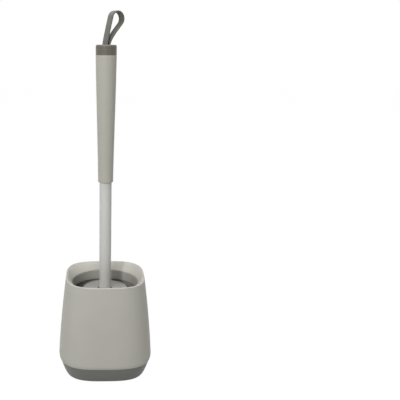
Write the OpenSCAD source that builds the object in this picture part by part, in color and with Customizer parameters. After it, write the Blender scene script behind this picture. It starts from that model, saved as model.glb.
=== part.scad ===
// Toilet brush set: a rounded-square pot with a round mouth, and the brush that stands in it.
// +Z is up, the origin is on the table under the middle of the pot, and lengths are in millimetres.

/* [Pot] */
// Width across the pot at its widest place
pot_w = 105; // [100:1:120]
// Height of the widest place above the table
belly_z = 22.5; // [21:0.5:26]
// Height of the rim above the table
rim_z = 110.5; // [106:0.5:125]
// Width across the rim
rim_w = 88.4; // [87:0.2:94]
// How much of the wall's lean comes as a bow, from 0 for a straight wall
wall_bow = 0.4; // [0:0.05:0.8]
// Squareness of the plan, where 2 is a circle
squareness = 3.2; // [2.8:0.05:3.8]
// Thickness of the pot's wall
pot_wall = 2; // [1.6:0.1:2.4]
// Radius along the rim's outer edge
rim_r = 2.4; // [1.6:0.1:3]
// Diameter of the round mouth
mouth_d = 74.4; // [72:0.2:76]
// Depth of the mouth's edge below the rim
mouth_drop = 8.5; // [6:0.5:10]
// Length of the collar that hangs below the mouth's edge
collar_h = 12; // [8:1:16]

/* [Base] */
// Height of the seam between pot and base
seam_z = 19; // [17:0.5:20]
// Lean of the side below the pot's widest place, in degrees from upright
under_lean = 17.5; // [12:0.5:22]
// Height over which the side turns from upright to that lean
belly_round = 3; // [1.5:0.5:5]
// How far the base stands in from the pot's lower edge
base_step = 0.3; // [0.1:0.1:0.6]
// How far the base's side turns in at the foot, past its lean
foot_in = 1.4; // [0.8:0.1:3]
// Height over which it does so
foot_h = 12; // [4:0.5:14]
// Thickness of the base's wall and floor
base_wall = 2.2; // [1.8:0.1:2.6]
// Height of the lip that plugs into the pot
lip_h = 5; // [3:0.5:6]
// Gap between the lip and the pot
lip_gap = 0.15; // [0.1:0.05:0.3]
// Diameter of the round recess in the base's underside
recess_d = 54; // [40:1:58]
// Depth of that recess
recess_h = 0.8; // [0.4:0.1:1]
// Diameter of a rubber pad
pad_d = 12; // [8:1:14]
// Height of a rubber pad
pad_h = 1; // [0.6:0.1:2]
// Distance of each pad from the two middle lines
pad_at = 29; // [22:1:31]

/* [Drip cup] */
// Height of the cup's floor above the table
cup_floor_z = 13.4; // [12.6:0.1:13.7]
// Thickness of the cup
cup_wall = 1.5; // [1.2:0.1:1.8]
// Inner diameter of the cup at its floor
cup_floor_d = 72.6; // [68:0.2:74]
// Gap between the cup and the collar that reaches into it
cup_gap = 0.3; // [0.2:0.1:0.6]
// How far the cup reaches up outside the collar
cup_overlap = 7; // [4:1:9]
// Diameter of the ring that the cup stands on
cup_ring_d = 56; // [44:1:60]

/* [Brush stick] */
// Diameter of the tube
tube_d = 13.3; // [12.6:0.1:14]
// Thickness of the tube's wall
tube_wall = 0.7; // [0.5:0.1:1]
// Height of the grip's lower end
grip_z = 217; // [195:0.5:230]
// Length of the grip up to the seam of its cap
grip_h = 135; // [120:0.5:160]
// Diameter of the grip at its lower end
grip_low_d = 16.4; // [16.2:0.1:18]
// Diameter of the grip and its cap at the top
grip_top_d = 22; // [21:0.1:24]
// How much of the grip's taper follows a wave, from 0 for a straight taper
grip_wave = 0.4; // [0:0.1:1]
// Thickness of the grip's wall
grip_wall = 2.2; // [1.6:0.1:2.6]
// Radius round the grip's lower edge
grip_edge_r = 1; // [0.4:0.1:1.2]
// How far the tube goes into the grip
tube_in_grip = 48; // [30:1:60]

/* [Cap and strap] */
// Height of the cap above the grip
cap_h = 10.5; // [9.5:0.5:13]
// Radius round the cap's top edge
cap_edge_r = 1.6; // [0.8:0.1:2]
// Depth of the dish in the cap's top
cap_dish = 0.8; // [0.4:0.1:1.2]
// Length of the cap's plug inside the grip
cap_plug_h = 12; // [8:1:16]
// Diameter of the pin that holds the strap
pin_d = 2; // [1.6:0.1:2.2]
// Depth of the pin's axis below the cap's top
pin_depth = 1.9; // [1.8:0.1:2.4]
// Width of the strap
strap_w = 8.6; // [6:0.2:9]
// Thickness of the strap
strap_t = 1.5; // [1.2:0.1:1.6]
// Radius of the loop's round end
strap_loop_r = 7.3; // [6:0.1:8.5]
// Height of the centre of that round end above the pin
strap_loop_up = 28.2; // [24:0.2:34]
// Distance of that centre to the side of the pin
strap_loop_out = 12.5; // [8:0.5:15]
// Turn of the strap about the upright axis
strap_turn = 35; // [0:1:60]
// Gap on each side of the strap in its slot
strap_gap = 0.3; // [0.2:0.1:0.6]
// Flare of the strap's slot from upright, on each side
slot_flare = 34; // [32:1:38]

/* [Brush head] */
// Height of the splash disc's top
disc_z = 93.7; // [93:0.1:96]
// Diameter of the splash disc
disc_d = 51; // [44:0.5:56]
// Thickness of the splash disc
disc_t = 2; // [1.6:0.1:2.6]
// Depth of the disc's hub below it
hub_h = 14; // [12:0.5:18]
// Thickness of the hub's wall
hub_wall = 2.2; // [1.8:0.1:2.4]
// Diameter of the rubber sleeve that carries the bristles
sleeve_d = 20.6; // [20.2:0.2:22]
// Diameter of the core inside the sleeve
core_d = 16; // [14:0.2:17]
// Height of the centre of the sleeve's domed end
dome_z = 42.6; // [42.4:0.2:46]
// Diameter of the head across the bristle tips
head_d = 63; // [58:0.5:66]
// Diameter of a bristle at its root
bristle_root_d = 3; // [2.4:0.1:3.1]
// Diameter of a bristle at its tip
bristle_tip_d = 2.1; // [1.4:0.1:2.4]
// Number of bristles in each ring
ring_count = 18; // [14:1:18]
// Number of rings along the sleeve
rings = 10; // [8:1:10]

/* [Screw] */
// Diameter of the core's screw
screw_d = 3.1; // [2.6:0.1:3.6]
// Diameter of the screw's head
screw_head_d = 6.4; // [5.6:0.1:7]
// Height of the screw's head
screw_head_h = 2.4; // [2:0.1:3]

/* [Hidden] */
$fn = 64;
sides = 72;
fit = 0.05;
eps = 0.01;

pot_r = pot_w / 2;
rim_a = rim_w / 2;
mouth_r = mouth_d / 2;
mouth_z = rim_z - mouth_drop;
collar_z = mouth_z - collar_h;
floor_z = pad_h + base_wall;
cup_r = mouth_r + pot_wall + cup_gap;
cup_z = collar_z + cup_overlap;
tube_r = tube_d / 2;
grip_top_z = grip_z + grip_h;
cap_top_z = grip_top_z + cap_h;
cap_plug_r = grip_top_d / 2 - grip_wall + 0.4;
tube_top_z = grip_z + tube_in_grip;
pin_z = cap_top_z - pin_depth;
pin_r = pin_d / 2;
strap_bend_r = pin_r + fit + strap_t / 2;
slot_r = strap_bend_r + strap_t / 2 + strap_gap;
slot_w = strap_w + 2 * strap_gap;
disc_under_z = disc_z - disc_t;
hub_r = tube_r + fit + hub_wall;
hub_z = disc_under_z - hub_h;
plug_flange = 2;
tube_low_z = hub_z + plug_flange;
core_r = core_d / 2;
core_low_z = dome_z - 2;
screw_seat_z = hub_z - 11;
sleeve_r = sleeve_d / 2;

// ---- curves -------------------------------------------------------------------------------

function mix(a, b, t) = a + (b - a) * t;

// Reach of the rounded square at a bearing, where its sides are 1 from the middle
function reach(t) =
    1 / pow(pow(abs(cos(t)), squareness) + pow(abs(sin(t)), squareness), 1 / squareness);

// One ring of points, where roundness goes from 0 for the rounded square to 1 for a circle
function ring_points(a, z, roundness) = [
    for (k = [0:sides - 1])
        let (t = 360 * k / sides, r = a * mix(reach(t), 1, roundness))
        [r * cos(t), r * sin(t), z]
];

function arc(centre, r, from, to, steps) = [
    for (k = [0:steps]) centre + r * [cos(mix(from, to, k / steps)), sin(mix(from, to, k / steps))]
];

function bezier(p, steps) = [
    for (k = [0:steps])
        let (t = k / steps, s = 1 - t)
        s * s * s * p[0] + 3 * s * s * t * p[1] + 3 * s * t * t * p[2] + t * t * t * p[3]
];

// Half width of the pot above and below its widest place, and of the base, whose side leans on
// in line with the pot's and turns in along an ellipse at the foot
rim_low_z = rim_z - rim_r;
function wall_a(z) =
    let (u = (z - belly_z) / (rim_low_z - belly_z))
    mix(pot_r, rim_a, u * (1 - wall_bow) + u * u * wall_bow);
function tuck_a(z) =
    let (d = belly_z - z)
    pot_r - tan(under_lean) * (d < belly_round ? d * d / (2 * belly_round) : d - belly_round / 2);
function pot_a(z) = z < belly_z ? tuck_a(z) : wall_a(z);
seam_a = tuck_a(seam_z);
base_top_a = seam_a - base_step;
function base_a(z) =
    let (u = max(0, 1 - (z - pad_h) / foot_h))
    base_top_a - tan(under_lean) * (seam_z - z) - foot_in * (1 - sqrt(1 - u * u));
foot_a = base_a(pad_h);

// Heights spread evenly from one level to another, both ends in
function levels(from, to, steps) = [for (k = [0:steps]) mix(from, to, k / steps)];

// Skin over a list of rings [half width, height, roundness], closed into a tube or capped flat
module skin(rings, closed) {
    count = len(rings);
    wraps = closed ? count : count - 1;
    sheet = [
        for (i = [0:wraps - 1], k = [0:sides - 1])
            let (a = i * sides, b = ((i + 1) % count) * sides, next = (k + 1) % sides)
            each [[a + k, b + k, b + next], [a + k, b + next, a + next]]
    ];
    caps = closed ? [] : [
        [for (k = [0:sides - 1]) k],
        [for (k = [sides - 1:-1:0]) (count - 1) * sides + k],
    ];
    polyhedron(
        points = [for (ring = rings) each ring_points(ring[0], ring[1], ring[2])],
        faces = concat(sheet, caps),
        convexity = 6
    );
}

// ---- pot ----------------------------------------------------------------------------------

// The funnel runs from the rim's crest in and down to the mouth, turning from square to round.
// It leaves the crest level and meets the mouth at an edge.
crest_a = rim_a - rim_r;
funnel_curve = 1.25;
function funnel(s) = [mix(crest_a, mouth_r, s), rim_z - mouth_drop * pow(s, funnel_curve), s];

inner_top_z = rim_z - pot_wall - rim_r;
inner_top_a = wall_a(inner_top_z) - pot_wall;

module holder_shell() {
    outside = [for (z = concat(levels(seam_z, belly_z, 4), levels(belly_z + 7, rim_low_z, 9)))
        [pot_a(z), z, 0]];
    edge = [for (p = arc([crest_a, rim_low_z], rim_r, 18, 90, 4)) [p[0], p[1], 0]];
    mouth = [for (k = [1:9]) funnel(k / 9)];
    collar = [
        [mouth_r, collar_z, 1],
        [mouth_r + pot_wall, collar_z, 1],
        [mouth_r + pot_wall, mouth_z - pot_wall / 2, 1],
    ];
    under = [for (s = [1 / 3, 2 / 3, 1])
        [mix(mouth_r + pot_wall, inner_top_a, s), mix(mouth_z - pot_wall / 2, inner_top_z, s), 1 - s]];
    inside = [for (z = concat(levels(rim_z - 14, belly_z, 7), levels(mix(belly_z, seam_z, 0.4), seam_z, 2)))
        [pot_a(z) - pot_wall, z, 0]];
    color("#aeaca4") skin(concat(outside, edge, mouth, collar, under, inside), true);
}

module drip_cup() {
    corner_r = 5;
    low_r = cup_floor_d / 2;
    under_z = cup_floor_z - cup_wall;
    ring_r = cup_ring_d / 2;
    inside = arc([low_r - corner_r, cup_floor_z + corner_r], corner_r, -90, 0, 6);
    outside = arc([low_r - corner_r, cup_floor_z + corner_r], corner_r + cup_wall, 0, -90, 6);
    ring = [
        [ring_r, under_z], [ring_r, floor_z], [ring_r - cup_wall, floor_z], [ring_r - cup_wall, under_z]
    ];
    shoulder_z = collar_z - 3;
    rim = [
        [cup_r, shoulder_z], [cup_r, cup_z], [cup_r + cup_wall, cup_z], [cup_r + cup_wall, shoulder_z]
    ];
    color("#8f8d86") rotate_extrude()
        polygon(concat([[0, cup_floor_z]], inside, rim, outside, ring, [[0, under_z]]));
}

// ---- base ---------------------------------------------------------------------------------

module base_cover() {
    lip_a = seam_a - pot_wall - lip_gap;
    recess_r = recess_d / 2;
    recess = [[recess_r - recess_h, pad_h + recess_h, 1], [recess_r, pad_h, 1]];
    side = [for (z = concat([for (turn = levels(90, 0, 8)) pad_h + foot_h * (1 - sin(turn))], [seam_z]))
        [base_a(z), z, 0]];
    lip = [
        [lip_a, seam_z, 0], [lip_a, seam_z + lip_h, 0],
        [lip_a - base_wall, seam_z + lip_h, 0], [lip_a - base_wall, seam_z - 1, 0],
    ];
    inside = [for (z = levels(seam_z - 4, floor_z + 3, 2)) [base_a(z) - base_wall - 0.4, z, 0]];
    tray_floor = [[foot_a - base_wall, floor_z, 0]];
    color("#696862") skin(concat(recess, side, lip, inside, tray_floor), false);
}

module base_pads() {
    color("#2f2f2f") for (x = [-pad_at, pad_at], y = [-pad_at, pad_at])
        translate([x, y, 0]) cylinder(d = pad_d, h = pad_h);
}

// ---- stick --------------------------------------------------------------------------------

// The grip widens from its lower end to the cap, partly straight and partly along half a wave
function grip_r(z) =
    let (s = (z - grip_z) / grip_h)
    mix(grip_low_d, grip_top_d, mix(s, (1 - cos(180 * s)) / 2, grip_wave)) / 2;

module grip() {
    stop_z = tube_top_z + 2;
    plug_z = grip_top_z - cap_plug_h - 0.5;
    outside = concat(
        arc([grip_low_d / 2 - grip_edge_r, grip_z + grip_edge_r], grip_edge_r, -90, 0, 3),
        [for (z = levels(grip_z + 6, grip_top_z, 22)) [grip_r(z), z]]
    );
    hollow = [for (z = levels(plug_z - 2, stop_z + 4, 8)) [grip_r(z) - grip_wall, z]];
    bore = [
        [tube_r - 1.2, stop_z + 4], [tube_r - 1.2, tube_top_z],
        [tube_r + fit, tube_top_z], [tube_r + fit, grip_z],
    ];
    color("#a9a7a0") rotate_extrude()
        polygon(concat(outside, [[cap_plug_r + fit, grip_top_z], [cap_plug_r + fit, plug_z]], hollow, bore));
}

module handle_tube() {
    color("#b2b3ae") difference() {
        translate([0, 0, tube_low_z]) cylinder(r = tube_r, h = tube_top_z - tube_low_z);
        translate([0, 0, tube_low_z - 1]) cylinder(r = tube_r - tube_wall, h = tube_top_z - tube_low_z + 2);
    }
}

module tube_end_plug() {
    plug_r = tube_r - tube_wall - fit;
    color("#d8d6cc") difference() {
        union() {
            translate([0, 0, hub_z]) cylinder(r = tube_r - fit, h = plug_flange);
            translate([0, 0, hub_z]) cylinder(r = plug_r, h = plug_flange + 15);
        }
        translate([0, 0, hub_z - 1]) cylinder(d = screw_d + 2 * fit, h = plug_flange + 12);
        for (turn = [0, 90])
            rotate([0, 0, turn]) translate([-tube_r, -0.8, hub_z + plug_flange + 12.5])
                cube([tube_d, 1.6, 3]);
    }
}

// ---- cap and strap ------------------------------------------------------------------------

// Local frame of the strap: x along the loop's plane, z up from the pin's axis
module at_pin() {
    translate([0, 0, pin_z]) rotate([0, 0, strap_turn]) children();
}

// Extrudes an outline drawn in that frame's x and z, centred on the loop's plane
module across(width) {
    rotate([90, 0, 0]) linear_extrude(height = width, center = true) children();
}

pin_l = grip_top_d - 3;

module end_cap() {
    r = grip_top_d / 2;
    low = slot_r * [cos(slot_flare), -sin(slot_flare)];
    high = low + (pin_depth + 1 - low[1]) * [tan(slot_flare), 1];
    dish_r = r - cap_edge_r - 1;
    dish_ball_r = (dish_r * dish_r + cap_dish * cap_dish) / (2 * cap_dish);
    roof_z = pin_z - slot_r - 1.6;
    color("#686760") difference() {
        union() {
            rotate_extrude() polygon(concat(
                [[0, grip_top_z], [r, grip_top_z]],
                arc([r - cap_edge_r, cap_top_z - cap_edge_r], cap_edge_r, 0, 90, 5),
                [[0, cap_top_z]]
            ));
            translate([0, 0, grip_top_z - cap_plug_h]) cylinder(r = cap_plug_r, h = cap_plug_h + 1);
        }
        translate([0, 0, cap_top_z - cap_dish + dish_ball_r]) sphere(r = dish_ball_r);
        translate([0, 0, grip_top_z - cap_plug_h - 1])
            cylinder(r = cap_plug_r - 1.8, h = roof_z - grip_top_z + cap_plug_h + 1);
        at_pin() {
            across(slot_w) circle(r = slot_r);
            across(slot_w) polygon([low, high, [-high[0], high[1]], [-low[0], low[1]]]);
            translate([0, grip_top_d / 2 + 1, 0]) rotate([90, 0, 0]) cylinder(r = pin_r, h = pin_l + 1);
        }
    }
}

module strap_pin() {
    color("#c4c4c0") at_pin()
        translate([0, grip_top_d / 2 - 0.3, 0]) rotate([90, 0, 0]) cylinder(r = pin_r, h = pin_l - 0.3);
}

// Middle line of the strap: round under the pin, up the near leg, over the loop and back down
loop_centre = [strap_loop_out, strap_loop_up];
loop_from = 165;
loop_to = -42;
function loop_point(t) = loop_centre + strap_loop_r * [cos(t), sin(t)];
function loop_heading(t) = [sin(t), -cos(t)];
function strap_line() =
    let (
        up = bezier([
            [-strap_bend_r, 0], [-1.1, strap_loop_up / 4],
            loop_point(loop_from) - 12 * loop_heading(loop_from), loop_point(loop_from)
        ], 12),
        over = arc(loop_centre, strap_loop_r, loop_from, loop_to, 18),
        down = bezier([
            loop_point(loop_to), loop_point(loop_to) + 9 * loop_heading(loop_to),
            [1.1, strap_loop_up / 4.3], [strap_bend_r, 0]
        ], 12),
        under = arc([0, 0], strap_bend_r, 0, -180, 12)
    )
    [
        for (k = [0:11]) up[k],
        for (k = [0:17]) over[k],
        for (k = [0:11]) down[k],
        for (k = [0:11]) under[k],
    ];

// A closed line moved sideways by a distance, to its left where the distance is positive
function beside(line, distance) = [
    for (k = [0:len(line) - 1])
        let (
            before = line[(k + len(line) - 1) % len(line)],
            after = line[(k + 1) % len(line)],
            along = (after - before) / norm(after - before)
        )
        line[k] + distance * [-along[1], along[0]]
];

module hang_strap() {
    line = strap_line();
    color("#6b6d64") at_pin() across(strap_w) difference() {
        polygon(beside(line, strap_t / 2));
        polygon(beside(line, -strap_t / 2));
    }
}

// ---- brush head ---------------------------------------------------------------------------

module splash_disc() {
    half = disc_t / 2;
    slot_turn = 26;
    color("#d6d5cb") difference() {
        union() {
            rotate_extrude() polygon(concat(
                [[0, disc_under_z]],
                arc([disc_d / 2 - half, disc_z - half], half, -90, 90, 6),
                [[0, disc_z]]
            ));
            translate([0, 0, hub_z]) cylinder(r = hub_r, h = hub_h + half);
        }
        translate([0, 0, hub_z - 1]) cylinder(r = tube_r + fit, h = hub_h + disc_t + 2);
        for (side = [0, 180])
            rotate([0, 0, side - slot_turn])
                rotate_extrude(angle = 2 * slot_turn)
                    translate([tube_r - 0.5, hub_z + 5]) square([1.9, hub_h + disc_t]);
    }
}

module head_core() {
    color("#c9c8bf") difference() {
        translate([0, 0, core_low_z]) cylinder(r = core_r, h = hub_z - core_low_z);
        translate([0, 0, core_low_z - 1]) cylinder(d = screw_head_d + 2, h = screw_seat_z - core_low_z + 1);
        translate([0, 0, screw_seat_z - 1]) cylinder(d = screw_d + 0.4, h = hub_z - screw_seat_z + 2);
        for (z = [core_low_z + 7, core_low_z + 17])
            translate([0, 0, z]) rotate_extrude() translate([core_r - 0.8, 0]) square([2, 1.6]);
    }
}

module core_screw() {
    color("#b9bbbd") difference() {
        union() {
            translate([0, 0, screw_seat_z]) cylinder(d = screw_d, h = hub_z - screw_seat_z + 10);
            translate([0, 0, screw_seat_z - screw_head_h]) cylinder(d = screw_head_d, h = screw_head_h);
        }
        for (turn = [0, 90])
            rotate([0, 0, turn]) translate([-1.9, -0.5, screw_seat_z - screw_head_h - 1])
                cube([3.8, 1, 2.2]);
    }
}

// A bristle along +Z from its root, with a tip that is bevelled all round
module bristle(length) {
    root_r = bristle_root_d / 2;
    tip_r = bristle_tip_d / 2;
    rotate_extrude()
        polygon([[0, 0], [root_r, 0], [tip_r, length - 0.5], [tip_r * 0.6, length], [0, length]]);
}

root_depth = 0.85;
bristle_l = head_d / 2 - sleeve_r + root_depth;
first_ring_z = disc_under_z - 3.7;
ring_step = (first_ring_z - dome_z) / (rings - 1);

// Each ring droops a little more than the one above it
module side_bristles() {
    for (i = [0:rings - 1], k = [0:ring_count - 1])
        rotate([0, 0, (k + (i % 2) / 2) * 360 / ring_count])
            translate([sleeve_r - root_depth, 0, first_ring_z - i * ring_step])
                rotate([0, 88 + 14 * i / (rings - 1), 0])
                    bristle(bristle_l);
}

// Rows round the domed end: [angle below level, count, length as a share of a side bristle's]
dome_rows = [[24, 15, 1], [45, 11, 0.96], [67, 6, 0.9]];
module dome_bristles() {
    for (row = dome_rows, k = [0:row[1] - 1])
        translate([0, 0, dome_z]) rotate([0, 90 + row[0], (k + 0.25) * 360 / row[1]])
            translate([0, 0, sleeve_r - root_depth]) bristle(bristle_l * row[2]);
    translate([0, 0, dome_z]) rotate([180, 0, 0])
        translate([0, 0, sleeve_r - root_depth]) bristle(bristle_l * 0.86);
}

module bristle_head() {
    top_z = disc_under_z - 0.2;
    color("#2c2c2e") difference() {
        union() {
            translate([0, 0, dome_z]) cylinder(r = sleeve_r, h = top_z - dome_z);
            translate([0, 0, dome_z]) sphere(r = sleeve_r);
            side_bristles();
            dome_bristles();
        }
        translate([0, 0, hub_z]) cylinder(r = hub_r + fit, h = hub_h + 5);
        translate([0, 0, core_low_z]) cylinder(r = core_r + fit, h = hub_z - core_low_z + 1);
    }
}

holder_shell();
drip_cup();
base_cover();
base_pads();
grip();
end_cap();
strap_pin();
hang_strap();
handle_tube();
tube_end_plug();
splash_disc();
head_core();
core_screw();
bristle_head();
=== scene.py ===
import math
import random

import bmesh
import bpy
from mathutils import Matrix, Vector


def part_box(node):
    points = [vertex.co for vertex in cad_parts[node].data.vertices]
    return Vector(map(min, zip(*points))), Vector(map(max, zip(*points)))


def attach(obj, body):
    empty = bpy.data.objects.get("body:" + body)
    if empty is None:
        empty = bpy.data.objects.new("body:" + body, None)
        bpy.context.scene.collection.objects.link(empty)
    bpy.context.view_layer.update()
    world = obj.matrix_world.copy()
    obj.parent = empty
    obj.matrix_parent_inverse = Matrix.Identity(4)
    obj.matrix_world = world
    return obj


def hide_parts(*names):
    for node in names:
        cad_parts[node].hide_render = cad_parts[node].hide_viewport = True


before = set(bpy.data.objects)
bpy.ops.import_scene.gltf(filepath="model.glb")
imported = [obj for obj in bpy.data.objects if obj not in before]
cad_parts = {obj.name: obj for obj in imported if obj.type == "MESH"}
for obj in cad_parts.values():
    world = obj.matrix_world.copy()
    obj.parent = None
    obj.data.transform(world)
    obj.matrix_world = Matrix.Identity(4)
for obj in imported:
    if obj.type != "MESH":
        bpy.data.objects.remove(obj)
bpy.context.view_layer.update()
mm = 0.001

# ---- Rubber pads ---------------------------------------------------------------------------
# Four discs of black rubber, punched from sheet and glued under the base, so that the set
# neither slides nor scratches. They are so plain that the frame's own solids stand for them.


class Shade:
    """One output in a material's node tree, so that shader maths reads as plain expressions."""

    def __init__(self, tree, socket=None):
        self.tree = tree
        self.socket = socket

    def node(self, kind, settings=None, inputs=None, output=0):
        """Adds a node: first its settings, then the value of each input or the link to it."""
        made = self.tree.nodes.new("ShaderNode" + kind)
        for name, value in (settings or {}).items():
            setattr(made, name, value)
        for name, value in (inputs or {}).items():
            if isinstance(value, Shade):
                self.tree.links.new(value.socket, made.inputs[name])
            else:
                made.inputs[name].default_value = value
        return Shade(self.tree, made.outputs[output])

    def maths(self, operation, first, second=0.0):
        return self.node("Math", {"operation": operation}, {0: first, 1: second})

    def __add__(self, other):
        return self.maths("ADD", self, other)

    def __radd__(self, other):
        return self.maths("ADD", other, self)

    def __sub__(self, other):
        return self.maths("SUBTRACT", self, other)

    def __rsub__(self, other):
        return self.maths("SUBTRACT", other, self)

    def __mul__(self, other):
        return self.maths("MULTIPLY", self, other)

    def __rmul__(self, other):
        return self.maths("MULTIPLY", other, self)


def surface(name, roughness, metallic=0.0, coat=0.0, specular=0.5):
    """Makes a material, and returns it with its shader and a Shade to build the rest from."""
    material = bpy.data.materials.new(name)
    material.use_nodes = True
    shader = material.node_tree.nodes["Principled BSDF"]
    shader.inputs["Roughness"].default_value = roughness
    shader.inputs["Metallic"].default_value = metallic
    shader.inputs["Coat Weight"].default_value = coat
    shader.inputs["Coat Roughness"].default_value = 0.05
    shader.inputs["Specular IOR Level"].default_value = specular
    return material, shader, Shade(material.node_tree)


def feed(shader, **inputs):
    """Links values into the shader, with _ for a space in a socket's name."""
    for name, value in inputs.items():
        value.tree.links.new(value.socket, shader.inputs[name.replace("_", " ")])


def place_of(shade):
    """The point on the piece, in metres."""
    return shade.node("TexCoord", output="Object")


def noise(shade, place, size, detail=2.0):
    """Noise whose lumps are about as wide as the size, in metres, from 0 to 1."""
    return shade.node("TexNoise", {}, {"Vector": place, "Scale": 1 / size, "Detail": detail})


def tint(shade, light, dark, amount):
    """A colour from a dark one, plain or itself a Shade, to a light one, as the amount grows."""
    start = dark if isinstance(dark, Shade) else (*dark, 1)
    ends = {0: amount, 6: start, 7: (*light, 1)}
    return shade.node("Mix", {"data_type": "RGBA"}, ends, output=2)


def relief(shade, height, depth):
    """A normal that follows a height from 0 to 1 as if it stood so deep, in metres."""
    return shade.node("Bump", {}, {"Height": height, "Strength": 1.0, "Distance": depth})


def moulded(name, colour, roughness, coat=0.0, grain=0.02 * mm, specular=0.22):
    """A moulding's finish: an even colour, a fine matt grain and a faint cloudiness."""
    cloud_size = 22 * mm
    grain_size = 0.35 * mm
    cloudiness = 0.035
    material, shader, shade = surface(name, roughness, coat=coat, specular=specular)
    place = place_of(shade)
    cloud = noise(shade, place, cloud_size, 3.0)
    fine = noise(shade, place, grain_size, 2.0)
    light = [min(1.0, c * (1 + cloudiness)) for c in colour]
    dark = [c * (1 - cloudiness) for c in colour]
    feed(
        shader,
        Base_Color=tint(shade, light, dark, cloud * 0.7 + fine * 0.3),
        Roughness=(fine - 0.5) * 0.10 + (cloud - 0.5) * 0.06 + roughness,
        Normal=relief(shade, fine, grain),
    )
    return material


def dress(node, material, sharp=32):
    """Gives a solid of the frame its finish; edges over the angle in degrees stay sharp."""
    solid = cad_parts[node]
    solid.data.materials.clear()
    solid.data.materials.append(material)
    solid.data.set_sharp_from_angle(angle=math.radians(sharp))


pad_rubber = moulded("pad_rubber", colour=(0.028, 0.028, 0.028), roughness=0.75, grain=0.05 * mm)
dress("base_pads", pad_rubber)

# ---- Base ----------------------------------------------------------------------------------
# A dark moulded plastic tray that closes the pot from below: its side leans on in line with the
# pot's and turns in at the foot, and a lip inside the pot holds it. It meets the pot at a fine
# seam, and a shallow round recess stands in its underside.

base_low, base_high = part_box("base_cover")
underside_z = base_low.z
base_top_a = base_high.x
lip_top_z = base_high.z
lip_h = 5 * mm
lip_step = 1.85 * mm
seam_z = lip_top_z - lip_h
under_lean = math.radians(17.5)
foot_in = 1.4 * mm
foot_h = 12 * mm
base_wall = 2.2 * mm
lip_a = base_top_a - lip_step
recess_r = 27 * mm
recess_h = 0.8 * mm
seam_round = 0.3 * mm
hollow_top_z = seam_z - 4 * mm
hollow_low_z = underside_z + 5.2 * mm
hollow_step = 0.4 * mm
around = 256


def mix(a, b, t):
    return a + (b - a) * t


def levels(start, end, steps):
    return [mix(start, end, k / steps) for k in range(steps + 1)]


def arc(centre, radius, start, end, steps):
    """Points on an arc, its angles in degrees."""
    turns = [math.radians(a) for a in levels(start, end, steps)]
    return [(centre[0] + radius * math.cos(a), centre[1] + radius * math.sin(a)) for a in turns]


def reach(turn, squareness=3.2):
    """How far the rounded square reaches at a bearing, where its sides are 1 from the middle."""
    return (abs(math.cos(turn)) ** squareness + abs(math.sin(turn)) ** squareness) ** (-1 / squareness)


def skin(name, rings, closed, count=around):
    """A mesh over rings of (half width, height, roundness), closed into a tube or capped flat."""
    mesh = bpy.data.meshes.new(name)
    points = []
    for half, height, roundness in rings:
        for k in range(count):
            turn = 2 * math.pi * k / count
            r = half * mix(reach(turn), 1, roundness)
            points.append((r * math.cos(turn), r * math.sin(turn), height))
    faces = []
    last = len(rings) if closed else len(rings) - 1
    for i in range(last):
        a = i * count
        b = (i + 1) % len(rings) * count
        for k in range(count):
            n = (k + 1) % count
            faces.append((a + k, a + n, b + n, b + k))
    if not closed:
        faces.append(tuple(reversed(range(count))))
        faces.append(tuple(range((len(rings) - 1) * count, len(rings) * count)))
    mesh.from_pydata(points, [], faces)
    return mesh


def piece(mesh, material, body, node, sharp=32):
    """Puts a mesh in the scene as a piece that rides on a body and stands for its solid."""
    made = bpy.data.objects.new(mesh.name, mesh)
    bpy.context.scene.collection.objects.link(made)
    mesh.materials.append(material)
    mesh.polygons.foreach_set("use_smooth", [True] * len(mesh.polygons))
    mesh.set_sharp_from_angle(angle=math.radians(sharp))
    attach(made, body)
    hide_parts(node)


def base_a(z):
    """Half width of the base's side at a height, leaning in and then turning in at the foot."""
    low = max(0.0, 1 - (z - underside_z) / foot_h)
    turned_in = foot_in * (1 - math.sqrt(max(0.0, 1 - low**2)))
    return base_top_a - math.tan(under_lean) * (seam_z - z) - turned_in


base_rings = [(recess_r - recess_h, underside_z + recess_h, 1), (recess_r, underside_z, 1)]
for turn in levels(90, 0, 24):
    z = underside_z + foot_h * (1 - math.sin(math.radians(turn)))
    base_rings.append((base_a(z), z, 0))
base_edge_z = seam_z - seam_round
base_rings += [(base_a(z), z, 0) for z in levels(underside_z + foot_h, base_edge_z, 4)[1:]]
base_edge = (base_a(base_edge_z) - seam_round / math.cos(under_lean), base_edge_z)
base_rings += [(a, z, 0) for a, z in arc(base_edge, seam_round, 0, 90, 4)]
base_rings += [(lip_a, seam_z, 0), (lip_a, lip_top_z, 0), (lip_a - base_wall, lip_top_z, 0)]
for z in levels(hollow_top_z, hollow_low_z, 6):
    base_rings.append((base_a(z) - base_wall - hollow_step, z, 0))
base_rings.append((base_a(underside_z) - base_wall, underside_z + base_wall, 0))
base_plastic = moulded("base_plastic", colour=(0.146, 0.147, 0.135), roughness=0.45)
piece(skin("base_moulding", base_rings, False), base_plastic, "holder", "base_cover")

# ---- Drip cup ------------------------------------------------------------------------------
# A plain round cup of the pot's plastic that stands on the base and catches the drips. Its rim
# stands outside the collar of the pot's mouth, so that water runs into it.

cup_plastic = moulded("cup_plastic", colour=(0.33, 0.32, 0.295), roughness=0.5)
dress("drip_cup", cup_plastic)

# ---- Pot -----------------------------------------------------------------------------------
# One moulding of greige satin plastic: a rounded square that leans in towards its rim, and a
# funnel that falls from the square rim to a round mouth, with a collar below it. It presses
# down over the base's lip.

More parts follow.
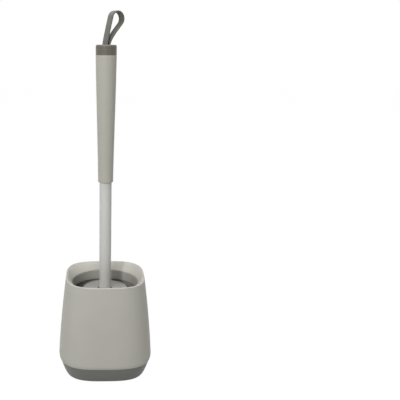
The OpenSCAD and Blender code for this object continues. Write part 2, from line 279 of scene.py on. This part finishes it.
pot_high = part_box("holder_shell")[1]
pot_r = pot_high.x
rim_z = pot_high.z
belly_z = 22.5 * mm
belly_round = 3 * mm
rim_a = 44.05 * mm
rim_r = 1.2 * mm
wall_bow = 0.4
pot_wall = 2 * mm
mouth_r = 37.2 * mm
mouth_drop = 8.5 * mm
collar_h = 12 * mm
funnel_curve = 1.25
funnel_steps = 40
mouth_round = 0.5 * mm
collar_edge = pot_wall / 2
mouth_z = rim_z - mouth_drop
collar_z = mouth_z - collar_h
under_z = rim_z - pot_wall - rim_r
inner_top_z = rim_z - 14 * mm
crest = (rim_a - rim_r, rim_z - rim_r)


def wall_a(z):
    """Half width of the pot's wall at a height above its belly."""
    share = (z - belly_z) / (crest[1] - belly_z)
    return mix(pot_r, rim_a, share * (1 - wall_bow) + share**2 * wall_bow)


def tuck_a(z):
    """Half width of the pot's side from its belly down to the seam, turning to the base's lean."""
    drop = belly_z - z
    fall = drop**2 / (2 * belly_round) if drop < belly_round else drop - belly_round / 2
    return pot_r - math.tan(under_lean) * fall


def funnel(s):
    """A ring of the funnel, from the rim's crest at 0 to the mouth's edge at 1."""
    return (mix(crest[0], mouth_r, s), rim_z - mouth_drop * s**funnel_curve, s)


pot_edge_z = seam_z + seam_round
pot_edge = (tuck_a(pot_edge_z) - seam_round / math.cos(under_lean), pot_edge_z)
pot_rings = [(a, z, 0) for a, z in arc(pot_edge, seam_round, -90, -30, 4)]
pot_rings += [(tuck_a(z), z, 0) for z in levels(pot_edge_z, belly_z, 12)]
pot_rings += [(wall_a(z), z, 0) for z in levels(belly_z, crest[1], 60)[1:]]
pot_rings += [(a, z, 0) for a, z in arc(crest, rim_r, 6, 90, 12)]
pot_rings += [funnel(k / funnel_steps) for k in range(1, funnel_steps - 1)]
edge_a, edge_z, _ = funnel((funnel_steps - 2) / funnel_steps)
pot_rings.append((mix(edge_a, mouth_r, 0.6), mix(edge_z, mouth_z - mouth_round, 0.35), 0.98))
pot_rings.append((mouth_r, mouth_z - mouth_round, 1))
pot_rings += [(mouth_r, z, 1) for z in levels(mouth_z - 2 * mouth_round, collar_z + collar_edge, 8)]
collar_line = arc((mouth_r + collar_edge, collar_z + collar_edge), collar_edge, 180, 360, 8)
pot_rings += [(a, z, 1) for a, z in collar_line[1:]]
pot_rings.append((mouth_r + pot_wall, mouth_z - collar_edge, 1))
for s in (0.25, 0.5, 0.75, 1):
    under_a = mix(mouth_r + pot_wall, wall_a(under_z) - pot_wall, s)
    pot_rings.append((under_a, mix(mouth_z - collar_edge, under_z, s), 1 - s))
pot_rings += [(wall_a(z) - pot_wall, z, 0) for z in levels(inner_top_z, belly_z, 12)]
for z in levels(mix(belly_z, seam_z, 0.4), seam_z, 2):
    pot_rings.append((tuck_a(z) - pot_wall, z, 0))
pot_plastic = moulded("pot_plastic", colour=(0.395, 0.385, 0.345), roughness=0.46)
pot = skin("pot_moulding", pot_rings, True)
piece(pot, pot_plastic, "holder", "holder_shell", sharp=45)

# ---- Head core, screw and tube plug --------------------------------------------------------
# What the brush hides: a plastic core inside the rubber, a plug in the tube's lower end, and
# the steel screw that holds the one to the other.

core_plastic = moulded("core_plastic", colour=(0.62, 0.61, 0.56), roughness=0.5)
dress("head_core", core_plastic)
dress("tube_end_plug", core_plastic)


def steel(name, colour, roughness):
    """Bright steel with faint turning marks."""
    mark_size = 0.3 * mm
    material, shader, shade = surface(name, roughness, metallic=1.0)
    place = place_of(shade)
    marks = noise(shade, place, mark_size, 1.0)
    feed(
        shader,
        Base_Color=tint(shade, colour, [c * 0.9 for c in colour], marks),
        Roughness=marks * 0.12 + roughness,
    )
    return material


pin_steel = steel("pin_steel", colour=(0.62, 0.62, 0.61), roughness=0.25)
dress("core_screw", pin_steel)

# ---- Bristle head --------------------------------------------------------------------------
# A soft charcoal rubber sleeve, closed and domed below, moulded in one with all its bristles.
# Each is a tapered rod with a filleted root and a small dimple in its flat tip.

sleeve_r = 10.3 * mm
dome_z = 42.6 * mm
hub_r = 8.95 * mm
core_r = 8.05 * mm
core_low_z = 40.6 * mm
hub_z = 77.7 * mm
sleeve_top = 91.5 * mm
root_r = 1.5 * mm
tip_r = 1.05 * mm
buried = 0.04
side_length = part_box("bristle_head")[1].x - sleeve_r
side_rows = 10
side_count = 18
side_top_z = 88 * mm
side_droop = (-2, 12)
side_share = 0.985
side_lift = (-0.22, 0.10)
side_sway = (-0.16, 0.16)
dome_rows = ((24, 15, 1), (45, 11, 0.96), (67, 6, 0.9))  # degrees below level, count, length
dome_share = 0.96
dome_lift = (0.05, 0.4)
dome_sway = (-0.25, 0.25)
last_aim = Vector((0.04, 0, -1))
last_share = 0.84
random.seed(7)


def turned(name, outline, count=96):
    """A mesh turned from a closed outline of (radius, height); a radius of 0 becomes a pole."""
    form = bmesh.new()
    rings = []
    for r, z in outline:
        if r < 1e-7:
            rings.append([form.verts.new((0, 0, z))] * count)
        else:
            turns = [2 * math.pi * k / count for k in range(count)]
            rings.append([form.verts.new((r * math.cos(t), r * math.sin(t), z)) for t in turns])
    for i, ring in enumerate(rings):
        above = rings[(i + 1) % len(rings)]
        for k in range(count):
            n = (k + 1) % count
            corners = list(dict.fromkeys((ring[k], ring[n], above[n], above[k])))
            if len(corners) > 2:
                form.faces.new(corners)
    mesh = bpy.data.meshes.new(name)
    form.to_mesh(mesh)
    form.free()
    return mesh


def rod(form, start, aim, length, lift, sway, count=12):
    """Adds a bristle from a point along a direction, bent up and sideways by angles over its length.

    Its rings are pairs of a share of its length and a radius.
    """
    aim = aim.normalized()
    side = aim.cross(Vector((0, 0, 1))).normalized()
    root = [(-buried, root_r * 1.3), (0.0, root_r * 1.3), (0.03, root_r * 1.1)]
    body = [(s, mix(root_r, tip_r, s)) for s in (0.1, 0.2, 0.35, 0.5, 0.65, 0.8, 0.92)]
    edge = [(1 - 0.35 * mm / length, tip_r * 1.02), (1 - 0.08 * mm / length, tip_r * 0.95)]
    cut = [(1, tip_r * 0.78), (1, tip_r * 0.5)]
    dimple = [(1 - 0.25 * mm / length, tip_r * 0.36)]
    painted_tip_light = form.verts.layers.float["painted_tip_light"]
    point = start - aim * buried * length
    last = -buried
    previous = None
    for s, radius in root + body + edge + cut + dimple:
        bent = max(0.0, s)
        heading = aim.copy()
        heading.rotate(Matrix.Rotation(lift * bent, 3, side))
        heading.rotate(Matrix.Rotation(sway * bent, 3, "Z"))
        point += heading * (s - last) * length
        last = s
        across = heading.cross(Vector((0, 0, 1))).normalized()
        up = across.cross(heading)
        ring = []
        for k in range(count):
            turn = 2 * math.pi * k / count
            vertex = form.verts.new(point + radius * (math.cos(turn) * across + math.sin(turn) * up))
            # Painted light: 1 on the tip's flat face, a painted highlight; elsewhere it goes from 0 at
            # the root to a quarter near the tip, so the dimple and the roots stay darker, as painted
            # shade.
            vertex[painted_tip_light] = 1.0 if (s, radius) in cut else mix(0.0, 0.25, bent)
            ring.append(vertex)
        if previous:
            for k in range(count):
                n = (k + 1) % count
                form.faces.new((previous[k], previous[n], ring[n], ring[k]))
        else:
            form.faces.new(list(reversed(ring)))
        previous = ring
    form.faces.new(previous)


def aimed(bearing, droop):
    """A direction by its bearing about the brush's axis and its angle below level, in radians."""
    level = math.cos(droop)
    return Vector((level * math.cos(bearing), level * math.sin(bearing), -math.sin(droop)))


dome_line = arc((0, dome_z), sleeve_r, -90, 0, 14)
sleeve_line = [(0, dome_line[0][1])] + dome_line[1:]
sleeve_line += [(sleeve_r, sleeve_top), (hub_r, sleeve_top), (hub_r, hub_z), (core_r, hub_z)]
sleeve_line += [(core_r, core_low_z), (0, core_low_z)]
sleeve = turned("rubber_sleeve", sleeve_line)
head = bmesh.new()
head.from_mesh(sleeve)
bpy.data.meshes.remove(sleeve)
# A layer for the bristles' painted highlight and painted shade, which their material reads.
head.verts.layers.float.new("painted_tip_light")
for i in range(side_rows):
    height = mix(side_top_z, dome_z, i / (side_rows - 1))
    droop = math.radians(mix(*side_droop, i / (side_rows - 1)))
    for k in range(side_count):
        bearing = 2 * math.pi * (k + (i % 2) / 2) / side_count + random.uniform(-0.02, 0.02)
        lean = droop + random.uniform(-0.04, 0.04)
        root = Vector((sleeve_r * math.cos(bearing), sleeve_r * math.sin(bearing), height))
        lift = random.uniform(*side_lift)
        sway = random.uniform(*side_sway)
        rod(head, root, aimed(bearing, lean), side_length * side_share, lift, sway)
for droop, count, share in dome_rows:
    for k in range(count):
        bearing = 2 * math.pi * (k + 0.25) / count + random.uniform(-0.05, 0.05)
        aim = aimed(bearing, math.radians(droop) + random.uniform(-0.04, 0.04))
        root = Vector((0, 0, dome_z)) + aim * sleeve_r
        lift = random.uniform(*dome_lift)
        sway = random.uniform(*dome_sway)
        rod(head, root, aim, side_length * share * dome_share, lift, sway)
pole = Vector((0, 0, dome_z - sleeve_r))
rod(head, pole, last_aim, side_length * last_share, 0.1, 0.0)
bristles = bpy.data.meshes.new("bristle_moulding")
head.to_mesh(bristles)
head.free()


def rubber(name, colour, tip_highlight_colour, roughness):
    """Soft moulded rubber: nearly black, with a dull sheen, a little dust and a painted highlight on
    the tips.
    """
    dust_size = 3 * mm
    grain_size = 0.25 * mm
    grain_depth = 0.02 * mm
    material, shader, shade = surface(name, roughness)
    place = place_of(shade)
    dust = noise(shade, place, dust_size, 4.0)
    fine = noise(shade, place, grain_size, 2.0)
    # Painted light: pale on the tips' flat faces as a painted highlight, darker in the dimples and
    # towards the roots as painted shade.
    painted_tip_light = shade.node("Attribute", {"attribute_name": "painted_tip_light"}, output="Fac")
    dusty = tint(shade, [c * 1.4 for c in colour], [c * 0.8 for c in colour], dust)
    feed(
        shader,
        Base_Color=tint(shade, tip_highlight_colour, dusty, painted_tip_light * 0.8),
        Roughness=dust * 0.2 + roughness - 0.1,
        Normal=relief(shade, fine, grain_depth),
    )
    return material


charcoal = (0.030, 0.030, 0.030)
# The grey that the painted highlight on the tips reaches.
tip_highlight_grey = (0.12, 0.12, 0.12)
bristle_rubber = rubber("bristle_rubber", charcoal, tip_highlight_grey, roughness=0.5)
piece(bristles, bristle_rubber, "brush", "bristle_head", sharp=40)

# ---- Splash disc ---------------------------------------------------------------------------
# A glossy disc with a round rim, moulded in one with the hub that takes the tube. The disc is pale,
# but its colour here is darkened as painted shade for its place deep in the pot. Two thin arc
# slots beside the tube free the tongues that snap to it.

# Painted shade: a far darker greige than the disc's own pale colour.
disc_greige_in_painted_shade = (0.20, 0.198, 0.180)
polished = 0.002 * mm
disc_plastic = moulded(
    "disc_plastic", disc_greige_in_painted_shade, roughness=0.25, coat=0.5, grain=polished, specular=0.5)
dress("splash_disc", disc_plastic)

# ---- Tube ----------------------------------------------------------------------------------
# A straight drawn aluminium tube with a satin pale grey coat, pressed into the grip above and
# over its plug below. Faint drawing lines run along it.

tube_light = (0.555, 0.56, 0.53)
tube_dark = (0.495, 0.50, 0.472)
line_width = 0.3 * mm
line_depth = 0.006 * mm
patch_size = 12 * mm
tube_satin, shader, shade = surface("tube_satin", 0.38, specular=0.4)
place = place_of(shade)
drawn = shade.node("Mapping", {}, {"Vector": place, "Scale": (1.0, 1.0, 0.02)})
lines = noise(shade, drawn, line_width, 2.0)
cloud = noise(shade, place, patch_size)
feed(
    shader,
    Base_Color=tint(shade, tube_light, tube_dark, lines * 0.5 + cloud * 0.5),
    Roughness=lines * 0.12 + 0.32,
    Normal=relief(shade, lines, line_depth),
)
dress("handle_tube", tube_satin)

# ---- Grip ----------------------------------------------------------------------------------
# A long hollow moulding of greige plastic that widens from the tube to its cap, with a small
# radius round its lower edge. The tube is pressed in up to a shoulder inside.

grip_low, grip_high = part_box("grip")
grip_low_r = 8.2 * mm
grip_edge = 1 * mm
cap_seam_round = 0.3 * mm
plug_r = 9.25 * mm
plug_depth = 12.5 * mm
grip_wall = 2.2 * mm
bore_top_z = grip_high.z - 14 * mm
bore_low_z = grip_low.z + 54 * mm
tube_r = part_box("handle_tube")[1].x
tube_depth = 48 * mm
shoulder_in = 1.2 * mm
shoulder_top = 50 * mm


def grip_r(z):
    """Radius of the grip at a height, its taper partly straight and partly half a wave."""
    share = (z - grip_low.z) / (grip_high.z - grip_low.z)
    wave = (1 - math.cos(math.pi * share)) / 2
    return mix(grip_low_r, grip_high.x, mix(share, wave, 0.4))


seam_centre = (grip_high.x - cap_seam_round, grip_high.z - cap_seam_round)
grip_line = arc((grip_low_r - grip_edge, grip_low.z + grip_edge), grip_edge, -90, 0, 8)
for z in levels(grip_low.z + 2.5 * grip_edge, grip_high.z - cap_seam_round, 60):
    grip_line.append((grip_r(z), z))
grip_line += arc(seam_centre, cap_seam_round, 20, 90, 4)
grip_line += [(plug_r, grip_high.z), (plug_r, grip_high.z - plug_depth)]
grip_line += [(grip_r(z) - grip_wall, z) for z in levels(bore_top_z, bore_low_z, 8)]
grip_line.append((tube_r - shoulder_in, grip_low.z + shoulder_top))
grip_line.append((tube_r - shoulder_in, grip_low.z + tube_depth))
grip_line += [(tube_r, grip_low.z + tube_depth), (tube_r, grip_low.z)]
grip_plastic = moulded("grip_plastic", colour=(0.387, 0.378, 0.330), roughness=0.42, coat=0.15)
piece(turned("grip_moulding", grip_line, 128), grip_plastic, "brush", "grip")

# ---- Cap and strap pin ---------------------------------------------------------------------
# A dark plastic cap that plugs the grip. Its top is dished and slotted for the strap, which
# goes round a steel pin pressed in from the back.

cap_plastic = moulded("cap_plastic", colour=(0.114, 0.106, 0.087), roughness=0.42, coat=0.3)
dress("end_cap", cap_plastic)
dress("strap_pin", pin_steel)

# ---- Strap ---------------------------------------------------------------------------------
# A loop of grey-green woven webbing, folded round the pin. Its edges are rounded, and the
# weave's ribs run across it.

strap_turn = math.radians(35)
strap_w = 8.6 * mm
strap_t = 1.5 * mm
strap_edge = strap_t * 0.42
pin_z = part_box("end_cap")[1].z - 1.9 * mm
bend_r = 1.8 * mm
loop_r = 7.3 * mm
loop_centre = Vector((12.5 * mm, 28.2 * mm))
loop_from = 165
loop_to = -42
leg_in = 1.1 * mm
near_pull = 12 * mm
far_pull = 9 * mm


def bezier(points, steps):
    """Points on the plane curve over four control points."""
    line = []
    for k in range(steps + 1):
        t = k / steps
        weights = ((1 - t) ** 3, 3 * (1 - t) ** 2 * t, 3 * (1 - t) * t * t, t**3)
        line.append(sum((w * Vector(p) for w, p in zip(weights, points)), Vector((0, 0))))
    return line


def loop_point(angle):
    """The point of the loop's round top at an angle in degrees."""
    turn = math.radians(angle)
    return loop_centre + loop_r * Vector((math.cos(turn), math.sin(turn)))


def loop_heading(angle):
    """The way the strap runs over that point, from the near leg to the far one."""
    turn = math.radians(angle)
    return Vector((math.sin(turn), -math.cos(turn)))


near_top = loop_point(loop_from)
far_top = loop_point(loop_to)
near_points = [
    (-bend_r, 0),
    (-leg_in, loop_centre.y / 4),
    near_top - near_pull * loop_heading(loop_from),
    near_top,
]
far_points = [
    far_top,
    far_top + far_pull * loop_heading(loop_to),
    (leg_in, loop_centre.y / 4.3),
    (bend_r, 0),
]
near_leg = bezier(near_points, 60)
over = [Vector(p) for p in arc(loop_centre, loop_r, loop_from, loop_to, 70)]
far_leg = bezier(far_points, 60)
under = [Vector(p) for p in arc((0, 0), bend_r, 0, -180, 24)]
strap_line = near_leg[:-1] + over[:-1] + far_leg[:-1] + under[:-1]

corner_w = strap_w / 2 - strap_edge
corner_t = strap_t / 2 - strap_edge
section = arc((corner_w, corner_t), strap_edge, 0, 90, 4)
section += arc((-corner_w, corner_t), strap_edge, 90, 180, 4)
section += arc((-corner_w, -corner_t), strap_edge, 180, 270, 4)
section += arc((corner_w, -corner_t), strap_edge, 270, 360, 4)

points = []
faces = []
lengths = []
along = 0.0
for k, spot in enumerate(strap_line):
    before = strap_line[k - 1]
    after = strap_line[(k + 1) % len(strap_line)]
    heading = (after - before).normalized()
    out = Vector((-heading.y, heading.x))
    lengths.append(along)
    along += (after - spot).length
    for across, lift in section:
        x, z = spot + out * lift
        points.append((
            x * math.cos(strap_turn) - across * math.sin(strap_turn),
            x * math.sin(strap_turn) + across * math.cos(strap_turn),
            z + pin_z,
        ))
count = len(section)
for k in range(len(strap_line)):
    a = k * count
    b = (k + 1) % len(strap_line) * count
    for j in range(count):
        n = (j + 1) % count
        faces.append((a + j, a + n, b + n, b + j))
webbing = bpy.data.meshes.new("webbing_strap")
webbing.from_pydata(points, [], faces)
uv = webbing.uv_layers.new(name="weave")
for face in webbing.polygons:
    for corner in face.loop_indices:
        vertex = webbing.loops[corner].vertex_index
        k, j = divmod(vertex, count)
        ahead = lengths[k]
        if k == 0 and face.index >= (len(strap_line) - 1) * count:
            ahead = along
        uv.data[corner].uv = (ahead, section[j][0])

rib_pitch = 0.95 * mm
yarn_pitch = 0.85 * mm
fibre_size = 0.25 * mm
weave_depth = 0.12 * mm
webbing_light = (0.132, 0.136, 0.111)
webbing_dark = (0.058, 0.060, 0.048)
strap_webbing, shader, shade = surface("strap_webbing", 0.8)
shader.inputs["Sheen Weight"].default_value = 0.25
weave = shade.node("UVMap", {"uv_map": "weave"})
run = shade.node("SeparateXYZ", {}, {"Vector": weave}, output="X")
side = shade.node("SeparateXYZ", {}, {"Vector": weave}, output="Y")
rib = run * (2 * math.pi / rib_pitch)
yarn = side * (2 * math.pi / yarn_pitch)
weft = shade.maths("SINE", rib + shade.maths("SINE", yarn) * 1.3)
warp = shade.maths("ABSOLUTE", shade.maths("SINE", yarn * 0.5))
threads = (weft * 0.5 + 0.5) * 0.6 + warp * 0.4
fibre = noise(shade, place_of(shade), fibre_size, 3.0)
feed(
    shader,
    Base_Color=tint(shade, webbing_light, webbing_dark, threads * 0.75 + fibre * 0.25),
    Roughness=fibre * 0.2 + 0.7,
    Normal=relief(shade, threads * 0.8 + fibre * 0.2, weave_depth),
)
piece(webbing, strap_webbing, "strap", "hang_strap", sharp=60)

# ---- Ground, light and camera --------------------------------------------------------------
# The set stands on a seamless ground of painted board, which the camera and the gloss see as
# white, as they see the room. A tall narrow lamp in front on the left shapes it, and softer ones
# from the left, from above and high on the right fill it. A thin strip draws a line of gloss.

floor_half = 6
floor_grey = (0.45, 0.45, 0.45, 1)
floor_white = 0.95
floor_glow = 1.04
ground_mesh = bpy.data.meshes.new("ground")
corners = [(x * floor_half, y * floor_half, 0) for x, y in ((-1, -1), (1, -1), (1, 1), (-1, 1))]
ground_mesh.from_pydata(corners, [], [(0, 1, 2, 3)])
ground = bpy.data.objects.new("ground", ground_mesh)
bpy.context.scene.collection.objects.link(ground)
ground_white, shader, shade = surface("ground_white", 0.9)
shader.inputs["Base Color"].default_value = floor_grey


def seen_white(shade):
    """1 for what the camera or a glossy surface sees directly, and 0 for light on the object."""
    camera_ray = shade.node("LightPath", output="Is Camera Ray")
    glossy_ray = shade.node("LightPath", output="Is Glossy Ray")
    return shade.maths("MAXIMUM", camera_ray, glossy_ray)


lit = Shade(shade.tree, shader.outputs[0])
glow = shade.node("Emission", {}, {"Color": (1, 1, 1, 1), "Strength": floor_glow})
blank = shade.node("MixShader", {}, {0: seen_white(shade) * floor_white, 1: lit, 2: glow})
target = ground_white.node_tree.nodes["Material Output"].inputs["Surface"]
shade.tree.links.new(blank.socket, target)
ground_mesh.materials.append(ground_white)

room_light = 0.22
world = bpy.data.worlds.new("studio")
bpy.context.scene.world = world
world.use_nodes = True
sky = world.node_tree.nodes["Background"]
shade = Shade(world.node_tree)
strength = seen_white(shade) * (1 - room_light) + room_light
world.node_tree.links.new(strength.socket, sky.inputs["Strength"])
sky.inputs["Color"].default_value = (1, 1, 1, 1)


def lamp(name, place, aim, size, power):
    """A soft rectangular light at a place, turned towards a point; its size is width, height."""
    data = bpy.data.lights.new(name, "AREA")
    data.shape = "RECTANGLE"
    data.size = size[0]
    data.size_y = size[1]
    data.energy = power
    made = bpy.data.objects.new(name, data)
    made.location = place
    made.rotation_euler = (Vector(aim) - Vector(place)).to_track_quat("-Z", "Y").to_euler()
    bpy.context.scene.collection.objects.link(made)


lamp("key", place=(-0.449, -1.008, 0.767), aim=(0, 0, 0.18), size=(0.15, 0.70), power=7.2)
lamp("left", place=(-0.835, -0.522, 0.95), aim=(0, 0, 0.18), size=(0.40, 0.40), power=2.3)
lamp("top", place=(0, 0, 1.50), aim=(0, 0, 0.10), size=(0.80, 0.80), power=15)
lamp("right", place=(0.494, -0.285, 1.404), aim=(0, 0, 0.15), size=(0.50, 0.50), power=2.2)
lamp("strip", place=(-0.12, -1.15, 0.60), aim=(0, 0, 0.30), size=(0.010, 1.2), power=1.6)

data = bpy.data.cameras.new("camera")
data.sensor_width = 36
data.lens = 56.25
data.shift_x = 0.2342
camera = bpy.data.objects.new("camera", data)
camera.location = (-0.0200, -0.6667, 0.363)
camera.rotation_euler = (math.radians(76), math.radians(-0.3), math.radians(-1.72))
bpy.context.scene.collection.objects.link(camera)
bpy.context.scene.camera = camera
bpy.context.scene.view_settings.view_transform = "Standard"
